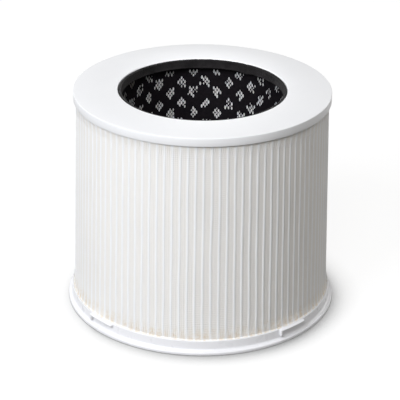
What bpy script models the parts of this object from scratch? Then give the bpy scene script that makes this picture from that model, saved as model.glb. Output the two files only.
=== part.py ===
# Air purifier filter: a drum of pleated paper between two moulded caps, with a perforated liner inside.
# Metres, +Z up. The origin is the centre of the rim that the filter stands on.

import math

import bmesh
import bpy

# Overall sizes
filter_height = 0.156
clearance = 0.0003

# Top cap: a ring with a skirt outside and a collar inside
cap_radius = 0.0885
cap_ring_width = 0.0305
cap_plate = 0.002
cap_skirt_height = 0.0058
cap_skirt_wall = 0.0011
cap_collar_height = 0.0056
cap_collar_wall = 0.0014
cap_edge_round = 0.0008
cap_lip_round = 0.0008

# Bottom cap: a pan with a flared wall, a rim and twist-lock lugs
rim_overhang = 0.0027
rim_height = 0.0026
rim_round = 0.0009
rim_under_round = 0.0008
rim_foot = 0.0045
pan_floor_height = 0.0022
pan_floor = 0.0018
pan_spread = 0.0038
pan_wall_height = 0.0098
pan_wall = 0.0010
pan_collar_height = 0.0075
pan_collar_wall = 0.0014

# Lugs on the wall of the pan: a curved plate with a stop down from its left end
lug_count = 4
lug_first_angle = math.radians(-47.0)
lug_length = 0.0225
lug_reach = 0.0022
lug_plate = 0.0010
lug_stop_length = 0.0018
lug_stop_height = 0.0046
lug_drop = 0.0002
lug_root = 0.0006
lug_bends = 5

# Pleated paper and the net round it
pleat_count = 106
pleat_first_angle = math.radians(-0.7)
paper_thickness = 0.0005
net_thickness = 0.0004
net_dip = 0.0011

# Perforated liner
liner_wall = 0.0007
liner_columns = 22
liner_rows = 10
liner_row_pitch = 0.0080
liner_top_margin = 0.0062
liner_opening_width = 0.0075
liner_opening_height = 0.0090

# Foam strip in the mouth and the glue in both caps
foam_thickness = 0.0018
foam_height = 0.0052
foam_set_down = 0.0008
potting_depth = 0.0020

# Facets of the turned pieces
cap_facets = 40
potting_facets = 20
round_steps = 2

# Heights where one piece meets another
cap_underside = filter_height - cap_plate
potting_top_floor = cap_underside - clearance - potting_depth
pan_top_of_floor = pan_floor_height + pan_floor
potting_foot_top = pan_top_of_floor + clearance + potting_depth
pack_top = potting_top_floor - clearance
pack_foot = potting_foot_top + clearance


def flat_radius(radius, facets):
    """How far the middle of a facet is from the axis."""
    return radius * math.cos(math.pi / facets)


# Radii of both caps: the mouth, then the pan's wall and rim, each wider than the top cap
cap_mouth_radius = cap_radius - cap_ring_width
pan_wall_radius = cap_radius + pan_spread
rim_radius = pan_wall_radius + rim_overhang

# Radii from the mouth outwards: collar, liner, paper, net, then the inner walls of both caps
collar_outer = cap_mouth_radius + cap_collar_wall
liner_inner = (collar_outer + clearance) / math.cos(math.pi / (2 * liner_columns))
liner_radius = liner_inner + liner_wall
pleat_inner_radius = liner_radius + clearance
skirt_inner = cap_radius - cap_skirt_wall
pan_wall_inner = pan_wall_radius - pan_wall
net_top_radius = flat_radius(skirt_inner, cap_facets) - clearance
net_foot_radius = flat_radius(pan_wall_inner, cap_facets) - clearance
pleat_top_radius = net_top_radius - net_thickness - clearance
pleat_foot_radius = net_foot_radius - net_thickness - clearance

# Colours as red, green, blue, then roughness
finishes = {
    "cap_plastic": ((0.86, 0.86, 0.88), 0.45),
    "filter_paper": ((0.84, 0.83, 0.80), 0.90),
    "net_thread": ((0.88, 0.89, 0.90), 0.70),
    "liner_black": ((0.012, 0.011, 0.013), 0.60),
    "foam_grey": ((0.035, 0.035, 0.036), 0.95),
    "potting_glue": ((0.72, 0.55, 0.32), 0.40),
}


def clear_scene():
    for obj in list(bpy.data.objects):
        bpy.data.objects.remove(obj, do_unlink=True)


def make_collection(name):
    collection = bpy.data.collections.new(name)
    bpy.context.scene.collection.children.link(collection)
    return collection


def make_finish(name):
    colour, roughness = finishes[name]
    material = bpy.data.materials.new(name)
    material.use_nodes = True
    shader = material.node_tree.nodes["Principled BSDF"]
    shader.inputs["Base Color"].default_value = (*colour, 1.0)
    shader.inputs["Roughness"].default_value = roughness
    shader.inputs["Metallic"].default_value = 0.0
    return material


def add_object(name, mesh, collection, material=None):
    obj = bpy.data.objects.new(name, mesh)
    collection.objects.link(obj)
    if material:
        mesh.materials.append(material)
    return obj


def arc(centre_x, centre_z, radius, start, end, steps=round_steps):
    """Points of an arc in the XZ plane, its angles in degrees from +X."""
    angles = [math.radians(start + (end - start) * step / steps) for step in range(steps + 1)]
    return [(centre_x + radius * math.cos(a), centre_z + radius * math.sin(a)) for a in angles]


def profile_mesh(name, outline):
    """A closed outline in the XZ plane, running down its outer side."""
    mesh = bpy.data.meshes.new(name)
    points = [(x, 0.0, z) for x, z in outline]
    edges = [(i, (i + 1) % len(points)) for i in range(len(points))]
    mesh.from_pydata(points, edges, [])
    return mesh


def turn(obj, facets):
    screw = obj.modifiers.new("turn", "SCREW")
    screw.axis = "Z"
    screw.angle = 2 * math.pi
    screw.steps = facets
    screw.render_steps = facets
    screw.use_merge_vertices = True
    screw.merge_threshold = 0.00001
    screw.use_smooth_shade = True


def ring(name, inner, outer, low, high, facets, collection, finish):
    """A plain turned ring of rectangular section."""
    outline = [(outer, high), (outer, low), (inner, low), (inner, high)]
    obj = add_object(name, profile_mesh(name, outline), collection, make_finish(finish))
    turn(obj, facets)
    return obj


def make_top_cap(collection):
    top = filter_height
    skirt_foot = top - cap_skirt_height
    collar_foot = top - cap_collar_height
    outline = arc(cap_mouth_radius + cap_lip_round, top - cap_lip_round, cap_lip_round, 180, 90)
    outline += arc(cap_radius - cap_edge_round, top - cap_edge_round, cap_edge_round, 90, 0)
    outline += [
        (cap_radius, skirt_foot),
        (skirt_inner, skirt_foot),
        (skirt_inner, cap_underside),
        (collar_outer, cap_underside),
        (collar_outer, collar_foot),
        (cap_mouth_radius, collar_foot),
    ]
    obj = add_object("top_cap", profile_mesh("top_cap", outline), collection, make_finish("cap_plastic"))
    turn(obj, cap_facets)
    return obj


def flare_points():
    """The outer face of the pan: down its wall, out in a hollow curve and down the rim."""
    hollow = rim_radius - rim_round - pan_wall_radius
    start = rim_height + hollow
    points = [(pan_wall_radius, pan_wall_height)]
    points += arc(pan_wall_radius + hollow, start, hollow, 180, 270, 3)
    points += arc(rim_radius - rim_round, rim_height - rim_round, rim_round, 90, 0)[1:]
    points += arc(rim_radius - rim_under_round, rim_under_round, rim_under_round, 0, -90)
    return points


def pan_outline():
    collar_inner = collar_outer - pan_collar_wall
    collar_top = pan_top_of_floor + pan_collar_height
    return flare_points() + [
        (rim_radius - rim_foot, 0.0),
        (rim_radius - rim_foot, pan_floor_height),
        (0.0, pan_floor_height),
        (0.0, pan_top_of_floor),
        (collar_inner, pan_top_of_floor),
        (collar_inner, collar_top),
        (collar_outer, collar_top),
        (collar_outer, pan_top_of_floor),
        (pan_wall_inner, pan_top_of_floor),
        (pan_wall_inner, pan_wall_height),
    ]


def make_lug(number, collection):
    """One twist-lock lug, its root sunk in the wall of the pan and its length bent round it."""
    bm = bmesh.new()
    bmesh.ops.create_cube(bm, size=1.0)
    depth = lug_reach + lug_root
    bmesh.ops.scale(bm, vec=(depth, lug_length, lug_plate), verts=bm.verts)
    top = pan_wall_height - lug_drop
    middle = pan_wall_radius + lug_reach - depth / 2
    bmesh.ops.translate(bm, vec=(middle, 0.0, top - lug_plate / 2), verts=bm.verts)
    stop_edge = lug_stop_length - lug_length / 2
    rest = lug_length - lug_stop_length
    for cut in range(lug_bends):
        place = stop_edge + rest * cut / lug_bends
        everything = bm.verts[:] + bm.edges[:] + bm.faces[:]
        bmesh.ops.bisect_plane(bm, geom=everything, plane_co=(0.0, place, 0.0), plane_no=(0.0, 1.0, 0.0))
    bm.normal_update()
    under_stop = [f for f in bm.faces if f.normal.z < -0.5 and f.calc_center_median().y < stop_edge]
    drawn = bmesh.ops.extrude_face_region(bm, geom=under_stop)["geom"]
    bmesh.ops.delete(bm, geom=under_stop, context="FACES")
    lower = [v for v in drawn if isinstance(v, bmesh.types.BMVert)]
    bmesh.ops.translate(bm, vec=(0.0, 0.0, lug_plate - lug_stop_height), verts=lower)
    for vert in bm.verts:
        vert.co = on_circle(vert.co.x, vert.co.y / pan_wall_radius, vert.co.z)
    mesh = bpy.data.meshes.new("lug")
    bm.to_mesh(mesh)
    bm.free()
    lug = add_object(f"lug_{number}", mesh, collection)
    lug.rotation_euler.z = lug_first_angle + number * 2 * math.pi / lug_count
    lug.hide_render = True
    lug.display_type = "WIRE"
    return lug


def make_bottom_cap(collection, helpers):
    mesh = profile_mesh("bottom_cap", pan_outline())
    obj = add_object("bottom_cap", mesh, collection, make_finish("cap_plastic"))
    turn(obj, cap_facets)
    for number in range(lug_count):
        join = obj.modifiers.new(f"lug_{number}", "BOOLEAN")
        join.operation = "UNION"
        join.solver = "EXACT"
        join.object = make_lug(number, helpers)
    return obj


def on_circle(radius, angle, height):
    return (radius * math.cos(angle), radius * math.sin(angle), height)


def drum_section(bm, places, height):
    """One turn of a folded wall. Each place has a radius and a share of the pitch from its pleat's tip."""
    pitch = 2 * math.pi / pleat_count
    return [
        {
            key: bm.verts.new(on_circle(radius, pleat_first_angle + (pleat + share) * pitch, height))
            for key, (radius, share) in places.items()
        }
        for pleat in range(pleat_count)
    ]


def folded_drum(name, foot_places, head_places, walls, ends, collection, finish):
    """A closed folded wall between its foot and its head. A place in the next pleat starts with next."""
    bm = bmesh.new()
    foot = drum_section(bm, foot_places, pack_foot)
    head = drum_section(bm, head_places, pack_top)
    for pleat in range(pleat_count):
        following = (pleat + 1) % pleat_count
        low, high = (
            {**level[pleat], **{"next " + key: vert for key, vert in level[following].items()}}
            for level in (foot, head)
        )
        for start, end in walls:
            bm.faces.new((low[start], low[end], high[end], high[start]))
        for corners in ends:
            bm.faces.new([low[key] for key in reversed(corners)])
            bm.faces.new([high[key] for key in corners])
    mesh = bpy.data.meshes.new(name)
    bm.to_mesh(mesh)
    bm.free()
    return add_object(name, mesh, collection, make_finish(finish))


def pleat_places(tip_radius):
    half_pitch = math.pi * tip_radius / pleat_count
    slant = math.atan(half_pitch / (tip_radius - pleat_inner_radius))
    setback = paper_thickness / math.sin(slant)
    return {
        "tip": (tip_radius, 0.0),
        "crease": (tip_radius - setback, 0.0),
        "valley": (pleat_inner_radius + setback, 0.5),
        "fold": (pleat_inner_radius, 0.5),
    }


def make_pleated_media(collection):
    """The folded paper, drawn in at the top cap and wider at its foot."""
    walls = (("tip", "valley"), ("valley", "next tip"), ("fold", "crease"), ("next crease", "fold"))
    ends = (("tip", "valley", "fold", "crease"), ("valley", "next tip", "next crease", "fold"))
    foot, head = pleat_places(pleat_foot_radius), pleat_places(pleat_top_radius)
    return folded_drum("pleated_media", foot, head, walls, ends, collection, "filter_paper")


def net_places(outer):
    return {
        "ridge": (outer, 0.0),
        "dip": (outer - net_dip, 0.5),
        "ridge inside": (outer - net_thickness, 0.0),
        "dip inside": (outer - net_dip - net_thickness, 0.5),
    }


def make_prefilter_net(collection):
    """The net, drawn tight over the tips of the pleats and dipping between them."""
    walls = (("ridge", "dip"), ("dip", "next ridge"))
    walls += (("dip inside", "ridge inside"), ("next ridge inside", "dip inside"))
    ends = (
        ("ridge", "dip", "dip inside", "ridge inside"),
        ("dip", "next ridge", "next ridge inside", "dip inside"),
    )
    foot, head = net_places(net_foot_radius), net_places(net_top_radius)
    return folded_drum("prefilter_net", foot, head, walls, ends, collection, "net_thread")


def liner_sheet():
    """The liner's wall with its staggered openings, wrapped round the axis as one open sheet."""
    half_pitch = math.pi * liner_radius / liner_columns
    half_width = liner_opening_width / 2
    half_height = liner_opening_height / 2
    top_row = pack_top - liner_top_margin
    last = liner_rows - 1
    bm = bmesh.new()
    points = {}

    def point(column, across, z):
        x = (column % (2 * liner_columns)) * half_pitch + across
        key = (round(x * 1e7), round(z * 1e7))
        if key not in points:
            points[key] = bm.verts.new(on_circle(liner_radius, x / liner_radius, z))
        return points[key]

    def corner(row, column, side):
        z = top_row - row * liner_row_pitch
        across = {"left": -half_width, "right": half_width}.get(side, 0.0)
        up = {"top": half_height, "bottom": -half_height}.get(side, 0.0)
        return point(column, across, z + up)

    def web(row, column, side, other):
        """The strip from an opening down to its neighbour in the next row."""
        step = 1 if side == "right" else -1
        strip = [
            corner(row, column, "bottom"),
            corner(row, column, side),
            corner(row + 1, column + step, "top"),
            corner(row + 1, column + step, other),
        ]
        bm.faces.new(strip[::-1] if step == 1 else strip)

    def margin(row, column, edge_z, near, far):
        """The plain border past the first or last row, over one pitch."""
        level = top_row - row * liner_row_pitch + (half_height if near == "top" else -half_height)
        middle = point(column + 1, 0.0, level)
        ragged = [corner(row, column, near), corner(row, column, "right"), far]
        ragged += [corner(row, column + 2, "left"), corner(row, column + 2, near), middle]
        edge = [point(column + step, 0.0, edge_z) for step in range(3)]
        bands = [
            [edge[0], corner(row, column, near), middle, edge[1]],
            [edge[1], middle, corner(row, column + 2, near), edge[2]],
        ]
        for face in [ragged, *bands]:
            bm.faces.new(face if near == "top" else face[::-1])

    for row in range(liner_rows):
        for column in range(row % 2, 2 * liner_columns, 2):
            if row < last:
                web(row, column, "right", "left")
                web(row, column, "left", "right")
            if 0 < row < last:
                above = corner(row - 1, column + 1, "bottom")
                below = corner(row + 1, column + 1, "top")
                bm.faces.new((corner(row, column, "right"), below, corner(row, column + 2, "left"), above))
            elif row == 0:
                margin(row, column, pack_top, "top", corner(row + 1, column + 1, "top"))
            else:
                margin(row, column, pack_foot, "bottom", corner(row - 1, column + 1, "bottom"))
    mesh = bpy.data.meshes.new("carbon_liner")
    bm.to_mesh(mesh)
    bm.free()
    return mesh


def make_carbon_liner(collection):
    obj = add_object("carbon_liner", liner_sheet(), collection, make_finish("liner_black"))
    wall = obj.modifiers.new("wall", "SOLIDIFY")
    wall.thickness = liner_wall
    wall.offset = -1.0
    return obj


def make_foam_seal(collection):
    """A strip of foam stuck to the inside of the top cap's collar."""
    outer = cap_mouth_radius - clearance
    high = filter_height - foam_set_down
    inner = outer - foam_thickness
    return ring("foam_seal", inner, outer, high - foam_height, high, cap_facets, collection, "foam_grey")


def make_potting(name, wall_inner, low, collection):
    """The glue in a cap's channel, between its collar and its wall."""
    inner = (collar_outer + clearance) / math.cos(math.pi / potting_facets)
    outer = flat_radius(wall_inner, cap_facets) - clearance
    return ring(name, inner, outer, low, low + potting_depth, potting_facets, collection, "potting_glue")


def main():
    clear_scene()
    parts = make_collection("air_purifier_filter")
    helpers = make_collection("lug_helpers")
    make_top_cap(parts)
    make_bottom_cap(parts, helpers)
    make_pleated_media(parts)
    make_prefilter_net(parts)
    make_carbon_liner(parts)
    make_foam_seal(parts)
    make_potting("top_potting", skirt_inner, potting_top_floor, parts)
    make_potting("bottom_potting", pan_wall_inner, pan_top_of_floor + clearance, parts)


main()
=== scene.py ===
# Air purifier filter: the finish of every surface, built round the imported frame. Metres, +Z up.
import math
import random

import bpy
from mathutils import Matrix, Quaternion, Vector, noise


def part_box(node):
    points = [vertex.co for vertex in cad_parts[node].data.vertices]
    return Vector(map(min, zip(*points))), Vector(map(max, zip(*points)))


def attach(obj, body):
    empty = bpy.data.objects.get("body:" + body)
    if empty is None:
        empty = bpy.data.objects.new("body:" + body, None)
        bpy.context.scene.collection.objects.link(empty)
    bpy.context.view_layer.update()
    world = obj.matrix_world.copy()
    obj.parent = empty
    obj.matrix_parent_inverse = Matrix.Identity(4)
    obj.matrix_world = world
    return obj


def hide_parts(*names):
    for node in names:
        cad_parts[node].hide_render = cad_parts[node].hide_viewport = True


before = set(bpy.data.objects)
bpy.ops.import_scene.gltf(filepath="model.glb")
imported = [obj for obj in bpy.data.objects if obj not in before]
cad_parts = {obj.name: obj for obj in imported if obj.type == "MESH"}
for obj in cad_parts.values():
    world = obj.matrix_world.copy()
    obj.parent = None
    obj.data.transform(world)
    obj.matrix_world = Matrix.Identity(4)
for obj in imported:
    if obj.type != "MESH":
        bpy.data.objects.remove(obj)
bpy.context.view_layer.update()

nearEnough = 0.00002  # how close a vertex lies to a named place to count as on it
mergeDistance = 0.000002


# Small helpers, used by every piece
def deselectAll():
    bpy.ops.object.select_all(action="DESELECT")


def useOnly(piece):
    deselectAll()
    piece.select_set(True)
    bpy.context.view_layer.objects.active = piece


def startPiece(name):
    piece = bpy.context.active_object
    piece.name = piece.data.name = name
    bpy.ops.object.transform_apply(location=True, rotation=True, scale=True)
    return piece


def enterEdit():
    bpy.ops.object.mode_set(mode="EDIT")


def leaveEdit():
    bpy.ops.object.mode_set(mode="OBJECT")


def editAll(piece):
    useOnly(piece)
    enterEdit()
    bpy.ops.mesh.select_mode(type="VERT")
    bpy.ops.mesh.select_all(action="SELECT")


def pickNothing(piece, kind):
    # leaves the mesh with nothing picked, ready to pick corners, edges or faces one by one
    useOnly(piece)
    enterEdit()
    bpy.ops.mesh.select_mode(type=kind)
    bpy.ops.mesh.select_all(action="DESELECT")
    leaveEdit()


def editFaces(piece, wanted):
    # opens the mesh with only the faces that wanted() picks by their centre
    pickNothing(piece, "FACE")
    for face in piece.data.polygons:
        face.select = wanted(face.center)
    enterEdit()


def extrudeUp(rise):
    bpy.ops.mesh.extrude_edges_move(TRANSFORM_OT_translate={"value": (0, 0, rise)})


def pointOutwards(piece):
    editAll(piece)
    bpy.ops.mesh.normals_make_consistent(inside=False)
    leaveEdit()


def applyModifier(piece, kind, **settings):
    useOnly(piece)
    modifier = piece.modifiers.new(kind.lower(), kind)
    for setting, value in settings.items():
        setattr(modifier, setting, value)
    bpy.ops.object.modifier_apply(modifier=modifier.name)


def repeat(piece, count, offset):
    applyModifier(
        piece,
        "ARRAY",
        count=count,
        use_relative_offset=False,
        use_constant_offset=True,
        constant_offset_displace=offset,
    )


def weld(piece):
    editAll(piece)
    bpy.ops.mesh.remove_doubles(threshold=mergeDistance)
    leaveEdit()


def smooth(piece, angle=math.radians(35)):
    useOnly(piece)
    bpy.ops.object.shade_smooth_by_angle(angle=angle)


def finish(piece, material, node):
    piece.data.materials.clear()
    piece.data.materials.append(material)
    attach(piece, "root")
    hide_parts(node)
    print(f"{piece.name}: {len(piece.data.polygons)} faces")


def turnedRing(name, corners, segments):
    # a circle, extruded and scaled from corner to corner of its section, then closed on itself
    radius, height = corners[0]
    deselectAll()
    bpy.ops.mesh.primitive_circle_add(vertices=segments, radius=radius, location=(0, 0, height))
    ring = startPiece(name)
    editAll(ring)
    for nextRadius, nextHeight in corners[1:] + corners[:1]:
        extrudeUp(nextHeight - height)
        bpy.ops.transform.resize(value=(nextRadius / radius, nextRadius / radius, 1))
        radius, height = nextRadius, nextHeight
    bpy.ops.mesh.select_all(action="SELECT")
    bpy.ops.mesh.remove_doubles(threshold=mergeDistance)
    bpy.ops.mesh.normals_make_consistent(inside=False)
    leaveEdit()
    return ring


def isAt(point, radius, height):
    onRadius = abs(math.hypot(point.x, point.y) - radius) < nearEnough
    return onRadius and abs(point.z - height) < nearEnough


def roundLoop(ring, radius, height, width, cuts=5):
    # bevels the edge loop at this radius and height
    pickNothing(ring, "EDGE")
    onLoop = [isAt(v.co, radius, height) for v in ring.data.vertices]
    for edge in ring.data.edges:
        edge.select = onLoop[edge.vertices[0]] and onLoop[edge.vertices[1]]
    enterEdit()
    bpy.ops.mesh.bevel(offset=width, segments=cuts, affect="EDGES")
    leaveEdit()


def clamped(share):
    return min(1, max(0, share))


def eased(share):
    # from 0 to 1, slow at both ends
    return share * share * (3 - 2 * share)


# Materials
noiseSpan = (0.3, 0.7)  # most values of a noise lie between these


def newMaterial(name, colour, roughness):
    material = bpy.data.materials.new(name)
    material.use_nodes = True
    tree = material.node_tree
    shader = tree.nodes["Principled BSDF"]
    shader.inputs["Base Color"].default_value = (*colour, 1)
    shader.inputs["Roughness"].default_value = roughness
    return material, tree, shader


def letLightIn(shader, weight, tint, reach):
    shader.inputs["Subsurface Weight"].default_value = weight
    shader.inputs["Subsurface Radius"].default_value = tint
    shader.inputs["Subsurface Scale"].default_value = reach


def addNode(tree, kind, **settings):
    node = tree.nodes.new(kind)
    for setting, value in settings.items():
        setattr(node, setting, value)
    return node


def placeOf(tree, stretch=(1, 1, 1)):
    # the piece's own coordinates, stretched for grain that runs one way
    where = addNode(tree, "ShaderNodeTexCoord")
    mapping = addNode(tree, "ShaderNodeMapping")
    mapping.inputs["Scale"].default_value = stretch
    tree.links.new(where.outputs["Object"], mapping.inputs["Vector"])
    return mapping.outputs["Vector"]


def heightOf(tree):
    split = addNode(tree, "ShaderNodeSeparateXYZ")
    tree.links.new(placeOf(tree), split.inputs["Vector"])
    return split.outputs["Z"]


def addNoise(tree, place, scale, detail=3.0, roughness=0.5):
    grain = addNode(tree, "ShaderNodeTexNoise")
    grain.inputs["Scale"].default_value = scale
    grain.inputs["Detail"].default_value = detail
    grain.inputs["Roughness"].default_value = roughness
    tree.links.new(place, grain.inputs["Vector"])
    return grain.outputs["Fac"]


def addMath(tree, operation, first, second):
    node = addNode(tree, "ShaderNodeMath", operation=operation)
    tree.links.new(first, node.inputs[0])
    tree.links.new(second, node.inputs[1])
    return node.outputs["Value"]


def addRamp(tree, value, stops):
    ramp = addNode(tree, "ShaderNodeValToRGB")
    elements = ramp.color_ramp.elements
    while len(elements) < len(stops):
        elements.new(0.5)
    for element, (position, colour) in zip(elements, stops):
        element.position = position
        element.color = (*colour, 1)
    tree.links.new(value, ramp.inputs["Fac"])
    return ramp.outputs["Color"]


def tintBetween(tree, value, low, high, span=noiseSpan):
    return addRamp(tree, value, [(span[0], low), (span[1], high)])


def addRange(tree, value, span, newSpan):
    change = addNode(tree, "ShaderNodeMapRange")
    sockets = ("From Min", "From Max", "To Min", "To Max")
    for socket, number in zip(sockets, (*span, *newSpan)):
        change.inputs[socket].default_value = number
    tree.links.new(value, change.inputs["Value"])
    return change.outputs["Result"]


def addBump(tree, shader, height, strength, distance):
    bump = addNode(tree, "ShaderNodeBump")
    bump.inputs["Strength"].default_value = strength
    bump.inputs["Distance"].default_value = distance
    tree.links.new(height, bump.inputs["Height"])
    tree.links.new(bump.outputs["Normal"], shader.inputs["Normal"])


def mixColours(tree, share, first, second):
    mix = addNode(tree, "ShaderNodeMix", data_type="RGBA")
    tree.links.new(share, mix.inputs["Factor"])
    tree.links.new(first, mix.inputs["A"])
    tree.links.new(second, mix.inputs["B"])
    return mix.outputs["Result"]


capWhite = {"pale": (0.828, 0.832, 0.843), "dull": (0.808, 0.812, 0.825), "roughness": 0.36}
panWhite = {"pale": (0.79, 0.79, 0.81), "dull": (0.772, 0.772, 0.793), "roughness": 0.3}
glossSpread = 0.04  # how far a cap's roughness strays either way


def makeCapPlastic(name, white):
    material, tree, shader = newMaterial(name, white["pale"], white["roughness"])
    place = placeOf(tree)
    mottle = addNoise(tree, place, scale=28, detail=4)
    colour = tintBetween(tree, mottle, white["dull"], white["pale"])
    tree.links.new(colour, shader.inputs["Base Color"])
    span = (white["roughness"] - glossSpread, white["roughness"] + glossSpread)
    roughness = addRange(tree, addNoise(tree, place, scale=140), noiseSpan, span)
    tree.links.new(roughness, shader.inputs["Roughness"])
    grain = addNoise(tree, place, scale=1400, detail=2)
    addBump(tree, shader, grain, strength=0.04, distance=0.00003)
    return material


paperTint = {
    "tip": (0.955, 0.945, 0.925),
    "deep": (0.945, 0.925, 0.88),
    "glue": (0.70, 0.52, 0.30),
    "paleGlue": (0.80, 0.66, 0.46),
    "glueHeights": (0.008, 0.0145),
    "glueShares": (0.75, 0.0),
    "glueWave": 0.002,
    "stretch": (1, 1, 0.35),
}


def makeFilterPaper():
    material, tree, shader = newMaterial("filterPaper", paperTint["tip"], roughness=0.9)
    letLightIn(shader, weight=0.8, tint=(1, 0.95, 0.85), reach=0.003)
    place = placeOf(tree, paperTint["stretch"])
    fibres = addNoise(tree, place, scale=900, detail=5, roughness=0.65)
    cloud = addNoise(tree, place, scale=45, detail=3)
    paper = tintBetween(tree, cloud, paperTint["deep"], paperTint["tip"])
    # glue has crept up the foot of the folds, to a wavy line
    swell = addNoise(tree, placeOf(tree), scale=160, detail=2)
    wave = addRange(tree, swell, noiseSpan, (-paperTint["glueWave"], paperTint["glueWave"]))
    level = addMath(tree, "ADD", heightOf(tree), wave)
    soak = addRange(tree, level, paperTint["glueHeights"], paperTint["glueShares"])
    glue = tintBetween(tree, fibres, paperTint["glue"], paperTint["paleGlue"])
    tree.links.new(mixColours(tree, soak, paper, glue), shader.inputs["Base Color"])
    addBump(tree, shader, fibres, strength=0.35, distance=0.0002)
    return material


# The ridge colour is the threads' own. The colour between the tips is painted shade: darker and
# warmer where the net lies over the deep folds
threadTint = {
    "ridge": (0.96, 0.962, 0.965),
    "valley": (0.91, 0.88, 0.832),
    "valleyShares": (0.9, 1.0),
    "soaked": (0.79, 0.665, 0.51),
    "soakedHeights": (0.0125, 0.0205),
    "patchSpan": (0.38, 0.6),
    "patchShares": (0.25, 1.0),
}


def makeNetThread():
    material, tree, shader = newMaterial("netThread", threadTint["ridge"], roughness=0.6)
    letLightIn(shader, weight=0.5, tint=(1, 0.97, 0.9), reach=0.0008)
    # painted shade: between the pleat tips the threads are mixed towards the darker, warmer
    # colour
    valley = addNode(tree, "ShaderNodeAttribute", attribute_name="valley").outputs["Fac"]
    grain = addNoise(tree, placeOf(tree), scale=700, detail=3)
    share = addRange(tree, grain, noiseSpan, threadTint["valleyShares"])
    deep = addMath(tree, "MULTIPLY", valley, share)
    colour = tintBetween(tree, deep, threadTint["ridge"], threadTint["valley"], (0.0, 1.0))
    # glue from the pan has tinted the lowest threads between the folds
    low = addRange(tree, heightOf(tree), threadTint["soakedHeights"], (1.0, 0.0))
    cloud = addNoise(tree, placeOf(tree), scale=130, detail=3)
    patch = addRange(tree, cloud, threadTint["patchSpan"], threadTint["patchShares"])
    between = addMath(tree, "MULTIPLY", addMath(tree, "MULTIPLY", low, patch), valley)
    soaked = tintBetween(tree, grain, threadTint["soaked"], threadTint["valley"])
    tree.links.new(mixColours(tree, between, colour, soaked), shader.inputs["Base Color"])
    return material


linerTint = {
    "plain": (0.006, 0.005, 0.006),
    "dark": (0.003, 0.0025, 0.0035),
    "pale": (0.010, 0.008, 0.010),
    "span": (0.35, 0.75),
}


def makeLinerBlack():
    material, tree, shader = newMaterial("linerBlack", linerTint["plain"], roughness=0.6)
    shader.inputs["Specular IOR Level"].default_value = 0.08
    grain = addNoise(tree, placeOf(tree), scale=600, detail=4, roughness=0.6)
    colour = tintBetween(tree, grain, linerTint["dark"], linerTint["pale"], linerTint["span"])
    tree.links.new(colour, shader.inputs["Base Color"])
    addBump(tree, shader, grain, strength=0.4, distance=0.0002)
    return material


foamTint = {
    "plain": (0.015, 0.014, 0.015),
    "dark": (0.005, 0.0045, 0.005),
    "pale": (0.021, 0.019, 0.020),
    "span": (0.3, 0.72),
    "cellScale": 900,
}


def makeFoamGrey():
    material, tree, shader = newMaterial("foamGrey", foamTint["plain"], roughness=0.95)
    shader.inputs["Specular IOR Level"].default_value = 0.1
    shader.inputs["Sheen Weight"].default_value = 0.08
    place = placeOf(tree)
    cells = addNode(tree, "ShaderNodeTexVoronoi", feature="DISTANCE_TO_EDGE")
    cells.inputs["Scale"].default_value = foamTint["cellScale"]
    tree.links.new(place, cells.inputs["Vector"])
    patches = addNoise(tree, place, scale=90, detail=4, roughness=0.6)
    colour = tintBetween(tree, patches, foamTint["dark"], foamTint["pale"], foamTint["span"])
    tree.links.new(colour, shader.inputs["Base Color"])
    addBump(tree, shader, cells.outputs["Distance"], strength=0.8, distance=0.0006)
    return material


glueTint = {"plain": (0.66, 0.46, 0.23), "dark": (0.56, 0.37, 0.17), "pale": (0.74, 0.56, 0.32)}


def makeSetGlue():
    material, tree, shader = newMaterial("setGlue", glueTint["plain"], roughness=0.3)
    shader.inputs["Coat Weight"].default_value = 0.3
    cloud = addNoise(tree, placeOf(tree), scale=70, detail=4)
    colour = tintBetween(tree, cloud, glueTint["dark"], glueTint["pale"])
    tree.links.new(colour, shader.inputs["Base Color"])
    addBump(tree, shader, cloud, strength=0.4, distance=0.0006)
    return material


capPlastic = makeCapPlastic("capPlastic", capWhite)
panPlastic = makeCapPlastic("panPlastic", panWhite)
filterPaper = makeFilterPaper()
netThread = makeNetThread()
linerBlack = makeLinerBlack()
foamGrey = makeFoamGrey()
setGlue = makeSetGlue()
print("materials made")


# Top cap: a flat ring with a skirt outside and a collar inside
topCap = {
    "mouthRadius": 0.058,
    "plate": 0.002,
    "skirtHeight": 0.0058,
    "skirtWall": 0.0011,
    "collarHeight": 0.0056,
    "collarWall": 0.0014,
    "edgeRound": 0.0005,
    "lipRound": 0.0008,
    "footRound": 0.0003,
    "footCuts": 2,
    "segments": 192,
}
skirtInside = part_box("top_cap")[1].x - topCap["skirtWall"]


def makeTopCap():
    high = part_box("top_cap")[1]
    top, outer, mouth = high.z, high.x, topCap["mouthRadius"]
    under = top - topCap["plate"]
    skirtFoot = top - topCap["skirtHeight"]
    collarFoot = top - topCap["collarHeight"]
    collarOutside = mouth + topCap["collarWall"]
    corners = [
        (mouth, top),
        (outer, top),
        (outer, skirtFoot),
        (skirtInside, skirtFoot),
        (skirtInside, under),
        (collarOutside, under),
        (collarOutside, collarFoot),
        (mouth, collarFoot),
    ]
    cap = turnedRing("topCap", corners, topCap["segments"])
    roundLoop(cap, outer, top, topCap["edgeRound"])
    roundLoop(cap, mouth, top, topCap["lipRound"])
    for radius in (outer, skirtInside):
        roundLoop(cap, radius, skirtFoot, topCap["footRound"], topCap["footCuts"])
    smooth(cap)
    finish(cap, capPlastic, "top_cap")


makeTopCap()


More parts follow.
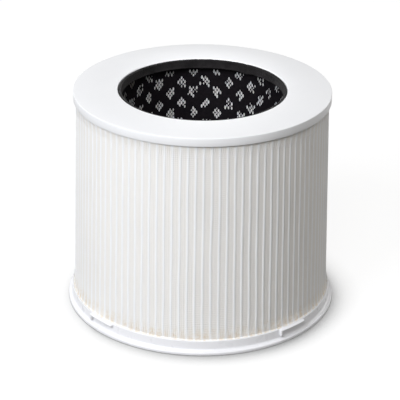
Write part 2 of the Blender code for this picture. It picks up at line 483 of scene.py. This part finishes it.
# Bottom cap: a pan with a hollow flare, a rim and four twist-lock lugs
bottomCap = {
    "wallRadius": 0.0923,
    "wallTop": 0.0098,
    "wall": 0.001,
    "wallRound": 0.00025,
    "wallCuts": 3,
    "rimHeight": 0.0026,
    "rimRound": 0.0009,
    "rimUnderRound": 0.0008,
    "rimFoot": 0.0045,
    "floorUnder": 0.0022,
    "floorTop": 0.004,
    "axisRadius": 0.001,
    "collarRadius": 0.0594,
    "collarWall": 0.0014,
    "collarTop": 0.0115,
    "flareSteps": 10,
    "segments": 192,
}
lugs = {
    "count": 4,
    "firstAngle": math.radians(-47),
    "length": 0.0225,
    "reach": 0.0022,
    "root": 0.0006,
    "plate": 0.001,
    "stopLength": 0.0018,
    "stopHeight": 0.0046,
    "drop": 0.0002,
    "bends": 14,
    "round": 0.00025,
}
wallInside = bottomCap["wallRadius"] - bottomCap["wall"]


def makeLug(number):
    # a thin plate, with a stop drawn down from its left end, bent round the wall of the pan
    wall, top = bottomCap["wallRadius"], bottomCap["wallTop"] - lugs["drop"]
    length, plate = lugs["length"], lugs["plate"]
    deselectAll()
    bpy.ops.mesh.primitive_cube_add(size=1)
    lug = bpy.context.active_object
    lug.scale = (lugs["reach"] + lugs["root"], length, plate)
    lug.location = (wall + (lugs["reach"] - lugs["root"]) / 2, 0, top - plate / 2)
    lug = startPiece(f"lug{number}")
    stopEdge = lugs["stopLength"] - length / 2
    editAll(lug)
    for bend in range(lugs["bends"]):
        place = stopEdge + (length - lugs["stopLength"]) * bend / lugs["bends"]
        bpy.ops.mesh.select_all(action="SELECT")
        bpy.ops.mesh.bisect(plane_co=(0, place, 0), plane_no=(0, 1, 0))
    leaveEdit()
    underside = top - plate + nearEnough
    editFaces(lug, lambda middle: middle.z < underside and middle.y < stopEdge)
    drop = plate - lugs["stopHeight"]
    bpy.ops.mesh.extrude_region_move(TRANSFORM_OT_translate={"value": (0, 0, drop)})
    leaveEdit()
    applyModifier(lug, "BEVEL", width=lugs["round"], segments=2, limit_method="ANGLE")
    turn = lugs["firstAngle"] + number * 2 * math.pi / lugs["count"]
    for v in lug.data.vertices:
        angle = turn + v.co.y / wall
        v.co = (v.co.x * math.cos(angle), v.co.x * math.sin(angle), v.co.z)
    return lug


def closeAxis(pan, height):
    # draws together the small hole that the turning leaves at the axis
    pickNothing(pan, "VERT")
    for v in pan.data.vertices:
        v.select = isAt(v.co, bottomCap["axisRadius"], height)
    enterEdit()
    bpy.ops.mesh.merge(type="CENTER")
    leaveEdit()


def flareCorners(rim):
    # a quarter circle, hollow to the outside, from the wall down to the rim
    hollow = rim - bottomCap["rimRound"] - bottomCap["wallRadius"]
    middle, height = bottomCap["wallRadius"] + hollow, bottomCap["rimHeight"] + hollow
    corners = []
    for step in range(bottomCap["flareSteps"] + 1):
        angle = math.pi + step / bottomCap["flareSteps"] * math.pi / 2
        corners.append((middle + hollow * math.cos(angle), height + hollow * math.sin(angle)))
    return corners


def makeBottomCap():
    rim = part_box("bottom_cap")[1].x
    wall, wallTop = bottomCap["wallRadius"], bottomCap["wallTop"]
    rimHeight, foot = bottomCap["rimHeight"], rim - bottomCap["rimFoot"]
    under, floorTop, axis = (bottomCap[key] for key in ("floorUnder", "floorTop", "axisRadius"))
    collar, collarTop = bottomCap["collarRadius"], bottomCap["collarTop"]
    collarInside = collar - bottomCap["collarWall"]
    corners = [(wall, wallTop)] + flareCorners(rim) + [
        (rim, rimHeight),
        (rim, 0),
        (foot, 0),
        (foot, under),
        (axis, under),
        (axis, floorTop),
        (collarInside, floorTop),
        (collarInside, collarTop),
        (collar, collarTop),
        (collar, floorTop),
        (wallInside, floorTop),
        (wallInside, wallTop),
    ]
    pan = turnedRing("bottomCap", corners, bottomCap["segments"])
    for height in (under, floorTop):
        closeAxis(pan, height)
    roundLoop(pan, rim, rimHeight, bottomCap["rimRound"])
    roundLoop(pan, rim, 0, bottomCap["rimUnderRound"])
    for radius in (wall, wallInside):
        roundLoop(pan, radius, wallTop, bottomCap["wallRound"], bottomCap["wallCuts"])
    for number in range(lugs["count"]):
        lug = makeLug(number)
        applyModifier(pan, "BOOLEAN", operation="UNION", solver="EXACT", object=lug)
        bpy.data.objects.remove(lug, do_unlink=True)
    smooth(pan)
    finish(pan, panPlastic, "bottom_cap")


makeBottomCap()


# Folded paper: its tips spread towards the foot and wander a little
pleats = {
    "count": 106,
    "phase": math.radians(-0.7),
    "tipRound": 0.00075,
    "foldHalf": 0.00155,
    "foldRound": 0.0007,
    "paper": 0.0003,
    "levels": 14,
    "tipSteps": 4,
    "wallSteps": 4,
    "foldSteps": 3,
    "wander": 0.0005,
    "wanderPerPleat": 0.73,
    "wanderPerMetre": 22,
    "gluedShare": 0.12,
    "seed": 4.7,
}
packLow, packHigh = (corner.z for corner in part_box("pleated_media"))
pleatPitch = 2 * math.pi / pleats["count"]


def reachOf(node, height, pick):
    # the widest or narrowest radius of a node's corners at this height
    corners = [v.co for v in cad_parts[node].data.vertices]
    return pick(math.hypot(c.x, c.y) for c in corners if abs(c.z - height) < nearEnough)


topTip = reachOf("pleated_media", packHigh, max)
footTip = reachOf("pleated_media", packLow, max)
innerFold = reachOf("pleated_media", packLow, min) + pleats["paper"]


def upShare(z):
    return (z - packLow) / (packHigh - packLow)


def tipRadius(z):
    return footTip + (topTip - footTip) * upShare(z)


def wanderOf(pleat, z):
    # how far round a tip has strayed, held straight where the glue holds it
    held = min(1, upShare(z) / pleats["gluedShare"], (1 - upShare(z)) / pleats["gluedShare"])
    place = (pleat * pleats["wanderPerPleat"], z * pleats["wanderPerMetre"], pleats["seed"])
    return pleats["wander"] * held * noise.noise(Vector(place)) / footTip


def strayAt(turns, z):
    # the wander at a place given in pleats, eased from one tip to the next
    pleat = math.floor(turns)
    first = wanderOf(pleat % pleats["count"], z)
    second = wanderOf((pleat + 1) % pleats["count"], z)
    return first + (second - first) * eased(turns - pleat)


def foldSection():
    # half a pleat, from its tip to the middle of the valley: how far out each point lies,
    # what it belongs to and how far across it is
    depth = footTip - innerFold
    tip, fold, foldHalf = pleats["tipRound"], pleats["foldRound"], pleats["foldHalf"]
    half = []
    for step in range(pleats["tipSteps"] + 1):
        angle = math.pi / 2 * (1 - step / pleats["tipSteps"])
        half.append((1 - (tip - tip * math.sin(angle)) / depth, "tip", tip * math.cos(angle)))
    for step in range(1, pleats["wallSteps"]):
        share = step / pleats["wallSteps"]
        half.append((1 - tip / depth - share * (1 - (tip + fold) / depth), "wall", share))
    for step in range(pleats["foldSteps"] + 1):
        angle = math.pi / 2 * step / pleats["foldSteps"]
        across = foldHalf - fold + fold * math.cos(angle)
        half.append(((fold - fold * math.sin(angle)) / depth, "fold", across))
    half.append((0, "fold", 0))
    return half


def placeInPitch(kind, across, radius):
    # the angle of a point from its tip
    half = pleatPitch / 2
    if kind == "tip":
        return across / radius
    if kind == "fold":
        return half - across / radius
    besideFold = half - pleats["foldHalf"] / radius
    return (1 - across) * pleats["tipRound"] / radius + across * besideFold


def extrudeToTop():
    # draws the picked edges up from the foot of the folds to their head, level by level
    for level in range(pleats["levels"]):
        extrudeUp((packHigh - packLow) / pleats["levels"])


def makePleats():
    quarter = foldSection()
    section = [(depth, kind, across, 1) for depth, kind, across in quarter]
    section += [(depth, kind, across, -1) for depth, kind, across in reversed(quarter[1:-1])]
    count = pleats["count"] * len(section)
    foot = (0, 0, packLow)
    deselectAll()
    bpy.ops.mesh.primitive_circle_add(vertices=count, radius=innerFold, location=foot)
    paper = startPiece("foldedPaper")
    reach = footTip - innerFold
    for number, v in enumerate(paper.data.vertices):
        pleat, step = divmod(number, len(section))
        depth, kind, across, side = section[step]
        radius = innerFold + depth * reach
        nearestTip = (pleat + (0 if side > 0 else 1)) * pleatPitch
        angle = nearestTip + side * placeInPitch(kind, across, radius)
        v.co = (radius * math.cos(angle), radius * math.sin(angle), packLow)
    editAll(paper)
    extrudeToTop()
    leaveEdit()
    for v in paper.data.vertices:
        radius, angle = math.hypot(v.co.x, v.co.y), math.atan2(v.co.y, v.co.x) % (2 * math.pi)
        depth = (radius - innerFold) / reach
        radius = innerFold + depth * (tipRadius(v.co.z) - innerFold)
        angle += strayAt(angle / pleatPitch, v.co.z) + pleats["phase"]
        v.co.x, v.co.y = radius * math.cos(angle), radius * math.sin(angle)
    pointOutwards(paper)
    applyModifier(paper, "SOLIDIFY", thickness=pleats["paper"], offset=-1)
    smooth(paper, angle=math.radians(60))
    finish(paper, filterPaper, "pleated_media")


makePleats()


# Net: flat threads drawn over the tips, rounds of them at each step up and uprights behind.
# Ridge, shoulder and flatFrom are places across a pleat, in pleats from its tip
net = {
    "dip": 0.0004,
    "ridge": 0.07,
    "shoulder": 0.2,
    "flatFrom": 0.25,
    "thread": 0.00098,
    "thickness": 0.00032,
    "step": 0.00136,
    "gap": 0.00015,
    "behind": 0.0001,
    "clearance": 0.0001,
    "footMargin": 0.0002,
    "headMargin": 0.0003,
    "uprightsPerPleat": 4,
    "widestEdge": 1.01,
    "pressedUpTo": 0.0108,
    "tuckedFrom": 0.147,
    "tuckedShort": 0.001,
}


def dipShare(turns):
    # 0 on the ridge over a tip, 1 on the flat between two tips
    away = abs(turns - round(turns))
    return clamped((away - net["ridge"]) / (net["shoulder"] - net["ridge"]))


def netPlace(turns, z, behind=0):
    # a point of the net, its place round given in pleats; its foot lies against the wall of the
    # pan and its head is tucked up inside the skirt
    half = net["thickness"] / 2
    radius = tipRadius(z) + net["gap"] + half - net["dip"] * dipShare(turns)
    wallTop, tuckedBy = bottomCap["wallTop"], packHigh - net["tuckedShort"]
    free = clamped((z - wallTop) / (net["pressedUpTo"] - wallTop))
    atWall = wallInside - half - net["clearance"]
    radius = atWall + (radius - atWall) * eased(free)
    tucked = clamped((z - net["tuckedFrom"]) / (tuckedBy - net["tuckedFrom"]))
    atSkirt = skirtInside - half - net["clearance"]
    radius += (atSkirt - radius) * eased(tucked) - behind
    angle = turns * pleatPitch + strayAt(turns % pleats["count"], z) + pleats["phase"]
    return radius * math.cos(angle), radius * math.sin(angle)


def drawOver(threads, behind=0):
    # lays flat bands over the pleats, marks their valleys, where shade is painted on the threads,
    # and gives them thickness
    valley = threads.data.attributes.new("valley", "FLOAT", "POINT")
    for number, v in enumerate(threads.data.vertices):
        turns = math.atan2(v.co.y, v.co.x) / pleatPitch
        valley.data[number].value = dipShare(turns)
        v.co.x, v.co.y = netPlace(turns, v.co.z, behind)
    pointOutwards(threads)
    applyModifier(threads, "SOLIDIFY", thickness=net["thickness"], offset=0)
    smooth(threads, angle=math.radians(40))
    finish(threads, netThread, "prefilter_net")


def makeNetRounds(name, first, rounds):
    half = (net["ridge"], net["shoulder"], net["flatFrom"])
    corners = [-place for place in reversed(half)] + list(half)
    perRound = pleats["count"] * len(corners)
    low = packLow + net["footMargin"] + first * net["step"]
    deselectAll()
    bpy.ops.mesh.primitive_circle_add(vertices=perRound, radius=footTip, location=(0, 0, low))
    threads = startPiece(name)
    for number, v in enumerate(threads.data.vertices):
        pleat, corner = divmod(number, len(corners))
        angle = (pleat + corners[corner]) * pleatPitch
        v.co = (footTip * math.cos(angle), footTip * math.sin(angle), low)
    editAll(threads)
    extrudeUp(net["thread"])
    leaveEdit()
    repeat(threads, rounds, (0, 0, net["step"]))
    drawOver(threads)


def makeNetUprights():
    perRound = pleats["count"] * net["uprightsPerPleat"]
    halfWidth = net["thread"] / 2 / footTip
    count, foot = perRound * 2, (0, 0, packLow)
    deselectAll()
    bpy.ops.mesh.primitive_circle_add(vertices=count, radius=footTip, location=foot)
    threads = startPiece("netUprights")
    for number, v in enumerate(threads.data.vertices):
        upright, side = divmod(number, 2)
        middle = upright / net["uprightsPerPleat"] * pleatPitch
        angle = middle + (halfWidth if side else -halfWidth)
        v.co = (footTip * math.cos(angle), footTip * math.sin(angle), packLow)
    pickNothing(threads, "EDGE")
    points = threads.data.vertices
    for edge in threads.data.edges:  # every second edge spans the gap between two uprights
        ends = [points[corner].co for corner in edge.vertices]
        tooWide = (ends[0] - ends[1]).length > net["thread"] * net["widestEdge"]
        edge.select = tooWide or min(edge.vertices) % 2 == 1
    enterEdit()
    bpy.ops.mesh.delete(type="EDGE_FACE")
    bpy.ops.mesh.select_all(action="SELECT")
    extrudeToTop()
    leaveEdit()
    drawOver(threads, net["behind"])


netRise = packHigh - packLow - net["thread"] - net["headMargin"]
netRounds = int(netRise / net["step"]) + 1
third = math.ceil(netRounds / 3)
makeNetRounds("netRoundsLow", 0, third)
makeNetRounds("netRoundsMiddle", third, third)
makeNetRounds("netRoundsHigh", 2 * third, netRounds - 2 * third)
makeNetUprights()


# Liner: a thin black sleeve, pierced in staggered clusters of small holes
liner = {
    "radius": 0.0608,
    "wall": 0.0002,
    "columns": 22,
    "cellsPerColumn": 14,
    "cellRise": 0.0016,
    "rowsPerCluster": 5,
    "firstClusterHeight": 0.1455,
    "phase": math.radians(-1.8),
    "plainFoot": 0.003,
    "plainHead": 0.0045,
    "spareRows": 2,
    "spareLevels": 3,
    "web": 0.00008,
    "holeSquash": 0.9,
    "uneven": 0.5,
    "unevenPower": 3,
    "seed": 11,
}
cellsAcross = liner["columns"] * liner["cellsPerColumn"]
# How often a place in a cluster is pierced, then the places, in cells across and rows up
clusterPlaces = {
    1.0: [(0, 0)],
    0.95: [(-1, 1), (1, 1), (-1, -1), (1, -1)],
    0.85: [(-2, 0), (2, 0), (0, 2), (0, -2)],
    0.3: [(-2, 2), (2, 2), (-2, -2), (2, -2)],
    0.15: [(-3, 1), (3, -1)],
}


def piercedCells():
    draw = random.Random(liner["seed"])
    cells = set()
    perColumn, perCluster = liner["cellsPerColumn"], liner["rowsPerCluster"]
    rows = int((packHigh - packLow) / liner["cellRise"] / perCluster) + 1
    for row in range(rows):
        for column in range(liner["columns"]):
            middle = column * perColumn + (row % 2) * perColumn // 2
            for often, places in clusterPlaces.items():
                for right, up in places:
                    if draw.random() < often:
                        cells.add(((middle + right) % cellsAcross, up - row * perCluster))
    return cells


def hexagonSheet(half, rise):
    # the liner laid flat: six-sided cells, half apart across and rise apart up
    above = math.ceil((packHigh - liner["firstClusterHeight"]) / rise) + liner["spareRows"]
    above += above % 2
    levels = math.ceil((packHigh - packLow) / (2 * rise)) + liner["spareLevels"]
    turn = (0, 0, math.pi / 6)
    deselectAll()
    bpy.ops.mesh.primitive_circle_add(vertices=6, radius=1, fill_type="NGON", rotation=turn)
    sheet = startPiece("liner")
    sheet.scale = (half * 2 / 3, rise * 2 / math.sqrt(3), 1)
    sheet.location.y = liner["firstClusterHeight"] + above * rise
    bpy.ops.object.transform_apply(location=True, rotation=True, scale=True)
    repeat(sheet, 2, (half, -rise, 0))
    repeat(sheet, cellsAcross // 2, (half * 2, 0, 0))
    repeat(sheet, levels, (0, -2 * rise, 0))
    weld(sheet)
    return sheet


def shrinkHoles(sheet):
    # the picked cells are drawn in, a few of them much smaller than the rest
    points = sheet.data.vertices
    draw = random.Random(liner["seed"])
    for face in sheet.data.polygons:
        if face.select:
            middle = face.center.copy()
            size = 1 - draw.random() ** liner["unevenPower"] * liner["uneven"]
            for corner in face.vertices:
                away = points[corner].co - middle
                drawnIn = Vector((away.x * size, away.y * size * liner["holeSquash"], 0))
                points[corner].co = middle + drawnIn


def makeLiner():
    half = 2 * math.pi * liner["radius"] / cellsAcross
    rise = liner["cellRise"]
    sheet = hexagonSheet(half, rise)
    pierced = piercedCells()
    low, high = packLow + liner["plainFoot"], packHigh - liner["plainHead"]

    def isPierced(centre):
        row = round((centre.y - liner["firstClusterHeight"]) / rise)
        return (round(centre.x / half) % cellsAcross, row) in pierced and low < centre.y < high

    editFaces(sheet, isPierced)
    bpy.ops.mesh.inset(thickness=liner["web"], use_individual=True)
    leaveEdit()
    shrinkHoles(sheet)
    enterEdit()
    bpy.ops.mesh.delete(type="ONLY_FACE")
    for height, side in ((packHigh, 1), (packLow, -1)):
        bpy.ops.mesh.select_all(action="SELECT")
        plane = {"plane_co": (0, height, 0), "plane_no": (0, side, 0)}
        bpy.ops.mesh.bisect(clear_outer=True, **plane)
    leaveEdit()
    for v in sheet.data.vertices:
        angle = v.co.x / liner["radius"] + liner["phase"]
        v.co = (liner["radius"] * math.cos(angle), liner["radius"] * math.sin(angle), v.co.y)
    weld(sheet)
    applyModifier(sheet, "SOLIDIFY", thickness=liner["wall"], offset=-1)
    smooth(sheet)
    finish(sheet, linerBlack, "carbon_liner")


makeLiner()


# Foam: a fuzzy strip round the mouth, its two ends meeting at the back
foam = {
    "thickness": 0.0018,
    "joint": math.radians(57),
    "gap": 0.0004,
    "droop": 0.0009,
    "droopAngle": 0.12,
    "curl": 0.0005,
    "footCurlShare": 0.18,
    "headCurlShare": 0.15,
    "headCurl": 0.5,
    "fuzz": 0.00022,
    "fuzzScale": 95,
    "fuzzSunk": 1.5,
    "swell": 0.0002,
    "swellScale": 0.35,
    "cellsAlong": 620,
    "cellsUp": 13,
}


def curlAt(up):
    # how far the strip leans inwards near its foot and its head
    foot = clamped(1 - up / foam["footCurlShare"]) ** 2
    head = clamped((up - 1 + foam["headCurlShare"]) / foam["headCurlShare"]) ** 2
    return foam["curl"] * (foot + foam["headCurl"] * head)


def makeFoam():
    low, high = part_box("foam_seal")
    inner = high.x - foam["thickness"]
    cells = {"x_subdivisions": foam["cellsAlong"], "y_subdivisions": foam["cellsUp"]}
    deselectAll()
    bpy.ops.mesh.primitive_grid_add(size=1, **cells)
    strip = startPiece("foamStrip")
    turn = 2 * math.pi - foam["gap"] / inner
    for v in strip.data.vertices:
        along, up = v.co.x + 0.5, v.co.y + 0.5
        angle = foam["joint"] - along * turn
        nearEnd = max(0, 1 - min(along, 1 - along) * turn / foam["droopAngle"])
        z = low.z + up * (high.z - low.z) - foam["droop"] * nearEnd ** 2 * (1 - up)
        place = Vector((math.cos(angle), math.sin(angle), z / inner)) * foam["fuzzScale"]
        swell = noise.noise(place * foam["swellScale"]) * foam["swell"] * (1 - abs(2 * up - 1))
        fuzz = foam["fuzz"] * (0.5 + 0.5 * noise.noise(place))
        radius = inner + fuzz + swell - curlAt(up)
        v.co = (radius * math.cos(angle), radius * math.sin(angle), z)
    depth = foam["thickness"] - foam["fuzz"] * foam["fuzzSunk"]
    applyModifier(strip, "SOLIDIFY", thickness=depth, offset=-1)
    smooth(strip, angle=math.radians(60))
    finish(strip, foamGrey, "foam_seal")


makeFoam()

# Glue rings keep their solids and get their finish
for name in ("top_potting", "bottom_potting"):
    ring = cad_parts[name]
    ring.data.materials.clear()
    ring.data.materials.append(setGlue)
print("pieces made")


# Floor, light and camera
studio = {
    "floorSize": 14,
    "floorColour": (0.2, 0.196, 0.188),
    "floorSeen": (0.2, 0.2, 0.2),
    "floorLift": 0.86,
    # the contact settings paint a shadow into the floor's glow close to the foot
    "contactShadowReach": 0.024,
    "contactShadowSamples": 12,
    "contactShadowLean": (-0.25, 0.35, 1),
    "contactShadowStops": [(0.0, 0.06), (0.5, 0.25), (0.62, 0.6), (0.78, 0.86), (1.0, 1.0)],
    "fill": 0.21,
    "fillTint": (1, 0.962, 0.905),
    "lamps": {
        "key": {
            "azimuth": -43,
            "rise": 36,
            "size": 0.9,
            "light": 0.81,
            "tint": (0.968, 0.995, 1.04),
        },
        "front": {"azimuth": -4, "rise": 47, "size": 0.7, "light": 0.37},
        "back": {"azimuth": -145, "rise": 35, "size": 0.7, "light": 0.12},
        "right": {"azimuth": 130, "rise": 12, "size": 0.7, "light": 0.17},
    },
    "lampDistance": 1.86,
    "mouthSpot": {"rise": 50, "away": 1.2, "light": 0.8, "cone": 4.6, "blend": 0.7, "size": 0.03},
}
cameraView = {
    "distance": 1.1215,
    "elevation": math.radians(25.013),
    "pivotHeight": 0.078,
    "aim": (-0.00095, 0, 0.07117),
    "roll": math.radians(0.642),
    "lens": 143.2,
}


def seenRays(tree):
    # 1 for what the camera sees, straight or mirrored
    rays = addNode(tree, "ShaderNodeLightPath")
    return addMath(tree, "MAXIMUM", rays.outputs["Is Camera Ray"], rays.outputs["Is Glossy Ray"])


def makeFloor():
    # rays from the camera see a white floor with a painted contact shadow that darkens it close
    # to the foot, the others a grey one
    deselectAll()
    bpy.ops.mesh.primitive_plane_add(size=studio["floorSize"])
    floor = startPiece("floor")
    material = bpy.data.materials.new("floorWhite")
    material.use_nodes = True
    tree = material.node_tree
    tree.nodes.clear()
    plain = addNode(tree, "ShaderNodeBsdfDiffuse")
    plain.inputs["Color"].default_value = (*studio["floorColour"], 1)
    shaded = addNode(tree, "ShaderNodeBsdfDiffuse")
    shaded.inputs["Color"].default_value = (*studio["floorSeen"], 1)
    samples = studio["contactShadowSamples"]
    # painted shadow: an occlusion test, leaned towards the back left, darkens the floor's glow
    # close to the foot
    nearby = addNode(tree, "ShaderNodeAmbientOcclusion", samples=samples)
    nearby.inputs["Distance"].default_value = studio["contactShadowReach"]
    lean = addNode(tree, "ShaderNodeCombineXYZ")
    for socket, part in zip(lean.inputs, Vector(studio["contactShadowLean"]).normalized()):
        socket.default_value = part
    tree.links.new(lean.outputs["Vector"], nearby.inputs["Normal"])
    stops = [(place, (grey, grey, grey)) for place, grey in studio["contactShadowStops"]]
    contactShadow = addRamp(tree, nearby.outputs["AO"], stops)
    mirrored = addNode(tree, "ShaderNodeLightPath").outputs["Is Glossy Ray"]
    glow = addNode(tree, "ShaderNodeEmission")
    glow.inputs["Strength"].default_value = studio["floorLift"]
    tree.links.new(addMath(tree, "MAXIMUM", contactShadow, mirrored), glow.inputs["Color"])
    lit = addNode(tree, "ShaderNodeAddShader")
    tree.links.new(shaded.outputs["BSDF"], lit.inputs[0])
    tree.links.new(glow.outputs["Emission"], lit.inputs[1])
    mix = addNode(tree, "ShaderNodeMixShader")
    tree.links.new(seenRays(tree), mix.inputs["Fac"])
    tree.links.new(plain.outputs["BSDF"], mix.inputs[1])
    tree.links.new(lit.outputs["Shader"], mix.inputs[2])
    out = addNode(tree, "ShaderNodeOutputMaterial")
    tree.links.new(mix.outputs["Shader"], out.inputs["Surface"])
    floor.data.materials.append(material)


def makeWorld():
    # a warm fill for the object, behind a backdrop that the camera sees as white
    world = bpy.data.worlds.new("studio")
    bpy.context.scene.world = world
    world.use_nodes = True
    tree = world.node_tree
    tree.nodes.clear()
    fill = addNode(tree, "ShaderNodeBackground")
    fill.inputs["Color"].default_value = (*studio["fillTint"], 1)
    fill.inputs["Strength"].default_value = studio["fill"]
    white = addNode(tree, "ShaderNodeBackground")
    white.inputs["Color"].default_value = (1, 1, 1, 1)
    mix = addNode(tree, "ShaderNodeMixShader")
    out = addNode(tree, "ShaderNodeOutputWorld")
    tree.links.new(seenRays(tree), mix.inputs["Fac"])
    tree.links.new(fill.outputs["Background"], mix.inputs[1])
    tree.links.new(white.outputs["Background"], mix.inputs[2])
    tree.links.new(mix.outputs["Shader"], out.inputs["Surface"])


def placeLamp(lamp, azimuth, rise, away, height):
    # aims the lamp at this height on the axis
    holder = bpy.data.objects.new(lamp.name, lamp)
    bpy.context.scene.collection.objects.link(holder)
    turn, up = math.radians(azimuth), math.radians(rise)
    reach = Vector((math.sin(turn) * math.cos(up), -math.cos(turn) * math.cos(up), math.sin(up)))
    holder.location = Vector((0, 0, height)) + away * reach
    holder.rotation_euler = (-reach).to_track_quat("-Z", "Y").to_euler()


def makeLamp(name, azimuth, rise, size, light, tint=(1, 1, 1)):
    # light is the brightness that the lamp alone gives a white card facing it
    lamp = bpy.data.lights.new(name, "AREA")
    lamp.size = size
    lamp.color = tint
    away = studio["lampDistance"]
    lamp.energy = (math.pi * away) ** 2 * light
    placeLamp(lamp, azimuth, rise, away, cameraView["pivotHeight"])


def makeMouthSpot(rise, away, light, cone, blend, size):
    # a narrow lamp that shines into the mouth, on the liner at the back
    lamp = bpy.data.lights.new("mouthSpot", "SPOT")
    lamp.spot_size = math.radians(cone)
    lamp.spot_blend = blend
    lamp.shadow_soft_size = size
    lamp.energy = (2 * math.pi * away) ** 2 * light
    placeLamp(lamp, 0, rise, away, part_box("top_cap")[1].z)


def makeCamera():
    camera = bpy.data.objects.new("camera", bpy.data.cameras.new("camera"))
    bpy.context.scene.collection.objects.link(camera)
    camera.data.lens = cameraView["lens"]
    away, rise, pivot = (cameraView[key] for key in ("distance", "elevation", "pivotHeight"))
    camera.location = (0, -away * math.cos(rise), pivot + away * math.sin(rise))
    towards = (Vector(cameraView["aim"]) - camera.location).to_track_quat("-Z", "Y")
    camera.rotation_mode = "QUATERNION"
    camera.rotation_quaternion = towards @ Quaternion((0, 0, 1), cameraView["roll"])
    bpy.context.scene.camera = camera


makeFloor()
makeWorld()
for lampName, lampFacts in studio["lamps"].items():
    makeLamp(lampName, **lampFacts)
makeMouthSpot(**studio["mouthSpot"])
makeCamera()
bpy.context.scene.view_settings.view_transform = "Standard"
print("floor, light and camera made")
